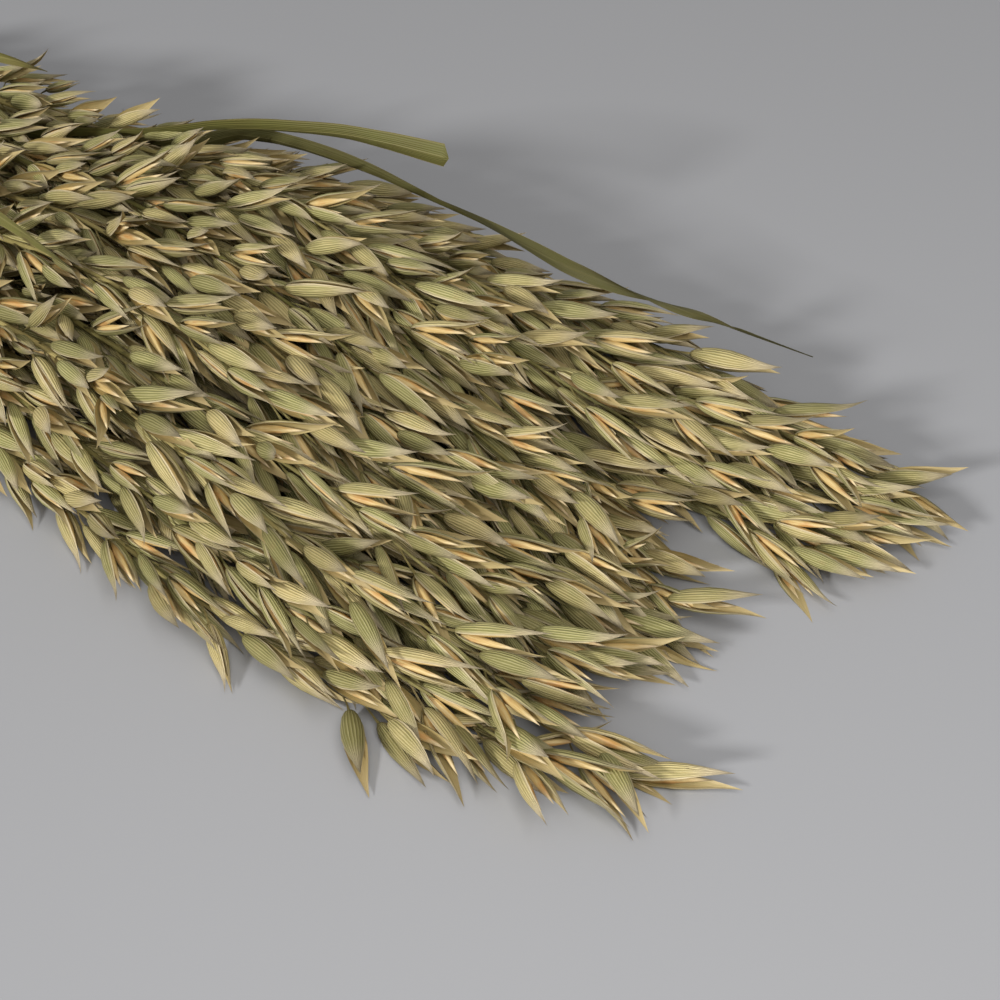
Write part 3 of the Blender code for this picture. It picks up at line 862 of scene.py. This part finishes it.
def blade(node, rng):
    """One leaf blade, thin and folded, that twists about the middle line of its solid."""
    twist, winding, roll, green, shade, sink, free = BLADES[node]
    line = blade_middle(node)
    middle, edge = line[:, :3], line[:, 3:]
    solid_half = np.linalg.norm(edge, axis=1)
    half = solid_half.max() * (solid_half / solid_half.max()) ** BLADE_TAPER
    share = np.linspace(0.0, 1.0, len(line))
    pointed = solid_half[-1] < solid_half.max() / 2
    if pointed:
        half *= np.clip((1 - share) / BLADE_TIP, 0.08, 1.0) ** 0.8
    risen = np.clip((share - free + BLADE_RISE) / BLADE_RISE, 0.0, 1.0)
    middle[:, 2] -= sink * (1 - risen ** 2 * (3 - 2 * risen))
    ahead = directions(middle)[0]
    side = edge / solid_half[:, None]
    side = side - ahead * (side * ahead).sum(axis=1)[:, None]
    side /= np.linalg.norm(side, axis=1)[:, None]
    up = np.cross(ahead, side)
    up *= np.sign(up[:, 2:3].mean())
    turn = twist * np.minimum(share, WINDING_END) ** winding
    turn = (turn + SWAY * np.sin(share * 9 + rng.uniform(0, 6)))[:, None]
    side, up = side * np.cos(turn) + up * np.sin(turn), up * np.cos(turn) - side * np.sin(turn)
    wave = 1 + BLADE_WAVE * np.sin(share * 23 + rng.uniform(0, 6))
    curl = roll * (0.52 + 0.78 * np.sin(share * 7 + rng.uniform(0, 6)) ** 2)

    def surface(count, lift):
        """The blade's face, with this many faces across, or its underside."""
        u = np.linspace(-1.0, 1.0, count + 1)
        bend = np.maximum(0.001, curl[:, None] * np.abs(u) ** 1.5)
        out = u * np.sin(bend) / bend
        high = np.abs(u) * ((1 - np.cos(bend)) / bend + BLADE_FOLD)
        reach = (half * wave)[:, None]
        flat = side[:, None] * (reach * out)[:, :, None]
        return middle[:, None] + flat + up[:, None] * (reach * high + lift)[:, :, None]

    along = BLADE_GRAIN_END + (1 - 2 * BLADE_GRAIN_END) * share
    top = surface(BLADE_ACROSS, 0.0)
    below = surface(BLADE_WITHIN, -BLADE_THICKNESS)[:, 1:-1]
    base = middle[0] - ahead[0] * 0.001
    tip = middle[-1] + ahead[-1] * half[-1] * 0.6
    form = boat(top, below, along, base, tip, (0, 1))
    form.points = pressed(form.points)
    tint = np.tile((green, shade, rng.uniform()), (len(form.points), 1))
    return form, tint


leaf = leaf_finish()
for name in BLADES:
    form, tint = blade(name, rng)
    piece = make_piece(name + "_look", [form], [(0.0, 0.0, 1.0, 1.0)], [tint],
                       ((0.0, 0.5, leaf), (0.5, 0.5, leaf)))
    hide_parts(name)


# ---------------------------------------------------------------------------- the twine tie
# Three turns of natural twine drawn tight round the culms and tied in an overhand knot on
# top. The twine is three twisted plies of coarse fibre, with loose hairs standing off it.

TWINE_RADIUS = 0.0012
TWINE_TURNS = 3
TURN_PITCH = 0.0029
PLY_LAY = 0.0055           # length in which a ply goes once round
PLY_SIDES = 6
PLY_STEP = 0.0009
PLY_THICK = 0.52           # of the twine's radius, a ply's own
PLY_SPREAD = 0.50          # of the twine's radius, from its middle to a ply's
PLY_FRAY = 0.45            # and that much more at its two ends
FRAY_LENGTH = 0.003
KNOT_HALF_ANGLE = math.radians(34)
TAIL_ANGLE = math.radians(62)
KNOT_RISE = 0.0058         # that the knot stands above the turns
KNOT_LIFT = 3.3            # twine radii from the turns' middle up to the knot's
KNOT_BEND = 1.1            # twine radii that the knot's two strands wind off that middle
KNOT_WINDING = 0.95        # half turns that they wind on either side of it
HAIRS = 260
HAIR_RADIUS = 0.00005
HAIR_LENGTHS = (0.0015, 0.0045)
HAIRS_ALONG = 0.8          # of the hairs, the rest stand at the twine's two ends
HAIR_COLUMNS = 20          # of the hairs' cells in the piece's map
PLY_ROOM = 0.88            # of the map's height, for the plies

tie_low, tie_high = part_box("twine_tie")
tie_x = (tie_low.x + tie_high.x) / 2
tie_y = (tie_low.y + tie_high.y) / 2


def twine_finish():
    """Jute: tan and grey-brown fibre, some plies darker than others."""
    f = Finish("jute_twine")
    across, along = f.grain()
    _, shade, seed = f.tint()
    strand = f.noise(f.spread(across * 9.0, along * 900.0, seed * 20.0), 1.0, detail=3.0)
    cloud = f.noise(f.position(), 500.0)
    colour = f.mix(strand.between(0.3, 0.75), srgb(126, 96, 60), srgb(200, 172, 126))
    colour = f.mix(cloud.between(0.5, 0.8) * 0.5, colour, srgb(150, 124, 84))
    colour = f.mix(shade * 0.3, colour, srgb(84, 62, 38))
    f.wear(colour, 0.75 + cloud * 0.15, strand, 0.00015)
    return f.material


def tie_route():
    """Middle line of the twine: one end, half of the knot, the turns, the other half and end."""
    turn_radius = (tie_high.z - tie_low.z - 2 * TWINE_RADIUS - KNOT_RISE) / 2
    tie_z = tie_low.z + TWINE_RADIUS + turn_radius
    knot_radius = turn_radius + KNOT_LIFT * TWINE_RADIUS
    knot_bend = TWINE_RADIUS * KNOT_BEND

    def place(angle, radius, x):
        """A point round the culms, by its angle from the top and its place along them."""
        return (tie_x + x, tie_y + radius * math.sin(angle), tie_z + radius * math.cos(angle))

    def knot(phase):
        """One of the knot's two strands, which wind round each other."""
        strand = []
        for share in np.linspace(1.0, -1.0, 17):
            twist = phase + math.pi * share * KNOT_WINDING
            radius = knot_radius + knot_bend * math.sin(twist)
            strand.append(place(-share * KNOT_HALF_ANGLE, radius, knot_bend * math.cos(twist)))
        return strand

    share = np.linspace(0.0, 1.0, 60 * TWINE_TURNS)
    round_culms = TAIL_ANGLE + (2 * math.pi * TWINE_TURNS - 2 * TAIL_ANGLE) * share
    turns = [place(angle, turn_radius, TURN_PITCH * TWINE_TURNS * (at - 0.5))
             for angle, at in zip(round_culms, share)]
    first_end = [place(-TAIL_ANGLE, knot_radius + 0.0010, 0.0080),
                 place(-TAIL_ANGLE * 0.8, knot_radius + 0.0016, 0.0040)]
    last_end = [place(TAIL_ANGLE * 0.8, knot_radius + 0.0016, -0.0040),
                place(TAIL_ANGLE, knot_radius + 0.0010, -0.0080)]
    return np.array(first_end + knot(math.pi / 2) + turns + knot(-math.pi / 2) + last_end)


def plies():
    """The twine's middle line, and its three plies, laid round it and loosening at the ends."""
    route = resampled(tie_route(), PLY_STEP)
    _, side, up = directions(route, pole=(1.0, 0.0, 0.0))
    run = np.arange(len(route)) * PLY_STEP
    from_end = np.minimum(run, run[-1] - run)
    spread = TWINE_RADIUS * (PLY_SPREAD + PLY_FRAY * np.exp(-(from_end / FRAY_LENGTH) ** 2))
    forms = []
    for number in range(3):
        turn = 2 * np.pi * (run / PLY_LAY + number / 3)
        offset = side * np.cos(turn)[:, None] + up * np.sin(turn)[:, None]
        line = route + offset * spread[:, None]
        radii = np.full(len(line), TWINE_RADIUS * PLY_THICK)
        forms.append(tube(line, radii, PLY_SIDES, number, pole=(1.0, 0.0, 0.0)))
    return route, forms


def hair(route, rng):
    """One loose fibre standing off the twine."""
    at = rng.integers(2, len(route) - 2) if rng.uniform() < HAIRS_ALONG else rng.choice([1, 2, -2, -3])
    ahead = route[at + 1] - route[at]
    ahead = ahead / np.linalg.norm(ahead)
    away = rng.normal(0.0, 1.0, 3)
    away = away - ahead * (away @ ahead) * 0.5
    away = away / np.linalg.norm(away)
    length = rng.uniform(*HAIR_LENGTHS)
    share = np.linspace(0.0, 1.0, 4)[:, None]
    bend = np.cross(ahead, away) * rng.uniform(-0.5, 0.5)
    root = route[at] + away * TWINE_RADIUS * 0.7
    line = root + (away * share + (ahead * rng.uniform(-1, 1) + bend) * share ** 2) * length
    return tube(line, np.full(4, HAIR_RADIUS), 3, 3, pole=rng.normal(0.0, 1.0, 3))


twine = twine_finish()
route, forms = plies()
cells = [(0.0, 0.0, 1.0, PLY_ROOM)] * 3
hair_height = (1 - PLY_ROOM) / (HAIRS // HAIR_COLUMNS)
for number in range(HAIRS):
    row, column = divmod(number, HAIR_COLUMNS)
    forms.append(hair(route, rng))
    cells.append((column / HAIR_COLUMNS, PLY_ROOM + row * hair_height, 1 / HAIR_COLUMNS, hair_height))
for form in forms:
    form.points = pressed(form.points)
tints = [np.tile((0.5, rng.uniform(0, 1), rng.uniform()), (len(form.points), 1)) for form in forms]
piece = make_piece("twine_tie_look", forms, cells, tints,
                   ((0.0, 0.33, twine), (0.33, 0.33, twine), (0.66, 0.34, twine), (0.0, 1.0, twine)))
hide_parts("twine_tie")


# ----------------------------------------------------------------- the table and the light
# The bunch lies on a plain, matt grey table. A soft, distant key lamp stands low at its near
# side, and a weak fill lamp and pale air all round lighten its shadows.

TABLE_SIZE = 30.0
KEY_SOFTNESS = math.radians(7.6)   # that the key lamp spans as seen from the bunch
FILL_SIZE = 0.5
LAMP_AIM = np.array([0.22, -0.02, 0.02])
AIR_STRENGTH = 0.29
CAMERA_AIM = Vector((0.243, -0.0105, 0.02))
CAMERA_AZIMUTH = math.radians(43.0)
CAMERA_ELEVATION = math.radians(37.0)
CAMERA_DISTANCE = 0.55
CAMERA_FIELD = math.radians(27.0)


def table_finish():
    """Matt grey board."""
    f = Finish("grey_board")
    cloud = f.noise(f.position(), 3.0)
    colour = f.mix(cloud, srgb(170, 170, 172), srgb(172, 172, 174))
    f.wear(colour, 0.6 + cloud * 0.05, cloud, 0.0001)
    return f.material


half = TABLE_SIZE / 2
corners = [(-half, -half, 0), (half, -half, 0), (half, half, 0), (-half, half, 0)]
table_mesh = bpy.data.meshes.new("table_top")
table_mesh.from_pydata(corners, [], [(0, 1, 2, 3)])
table_mesh.materials.append(table_finish())
table_top = bpy.data.objects.new("table_top", table_mesh)
bpy.context.scene.collection.objects.link(table_top)


def lamp(name, kind, azimuth, elevation, distance, power):
    """A lamp that shines at the bunch from this side and height, in degrees."""
    turn, rise = math.radians(azimuth), math.radians(elevation)
    away = np.array([math.sin(turn) * math.cos(rise), -math.cos(turn) * math.cos(rise), math.sin(rise)])
    data = bpy.data.lights.new(name, kind)
    data.energy = power
    made = bpy.data.objects.new(name, data)
    made.location = LAMP_AIM + away * distance
    made.rotation_mode = "QUATERNION"
    made.rotation_quaternion = Vector(-away).to_track_quat("-Z", "Y")
    bpy.context.scene.collection.objects.link(made)
    return data


lamp("key_lamp", "SUN", 4.0, 23.0, 4.0, 2.45).angle = KEY_SOFTNESS
lamp("fill_lamp", "AREA", 52.0, 50.0, 0.76, 3.3).size = FILL_SIZE
air = bpy.data.worlds.new("studio_air")
air.use_nodes = True
air.node_tree.nodes["Background"].inputs["Color"].default_value = (1.0, 1.0, 1.0, 1.0)
air.node_tree.nodes["Background"].inputs["Strength"].default_value = AIR_STRENGTH
bpy.context.scene.world = air

level = math.cos(CAMERA_ELEVATION)
look = Vector((-math.sin(CAMERA_AZIMUTH) * level, math.cos(CAMERA_AZIMUTH) * level,
               -math.sin(CAMERA_ELEVATION)))
camera_data = bpy.data.cameras.new("camera")
camera_data.angle = CAMERA_FIELD
camera = bpy.data.objects.new("camera", camera_data)
camera.location = CAMERA_AIM - look * CAMERA_DISTANCE
camera.rotation_mode = "QUATERNION"
camera.rotation_quaternion = look.to_track_quat("-Z", "Y")
bpy.context.scene.collection.objects.link(camera)
bpy.context.scene.camera = camera
bpy.context.scene.view_settings.view_transform = "Standard"
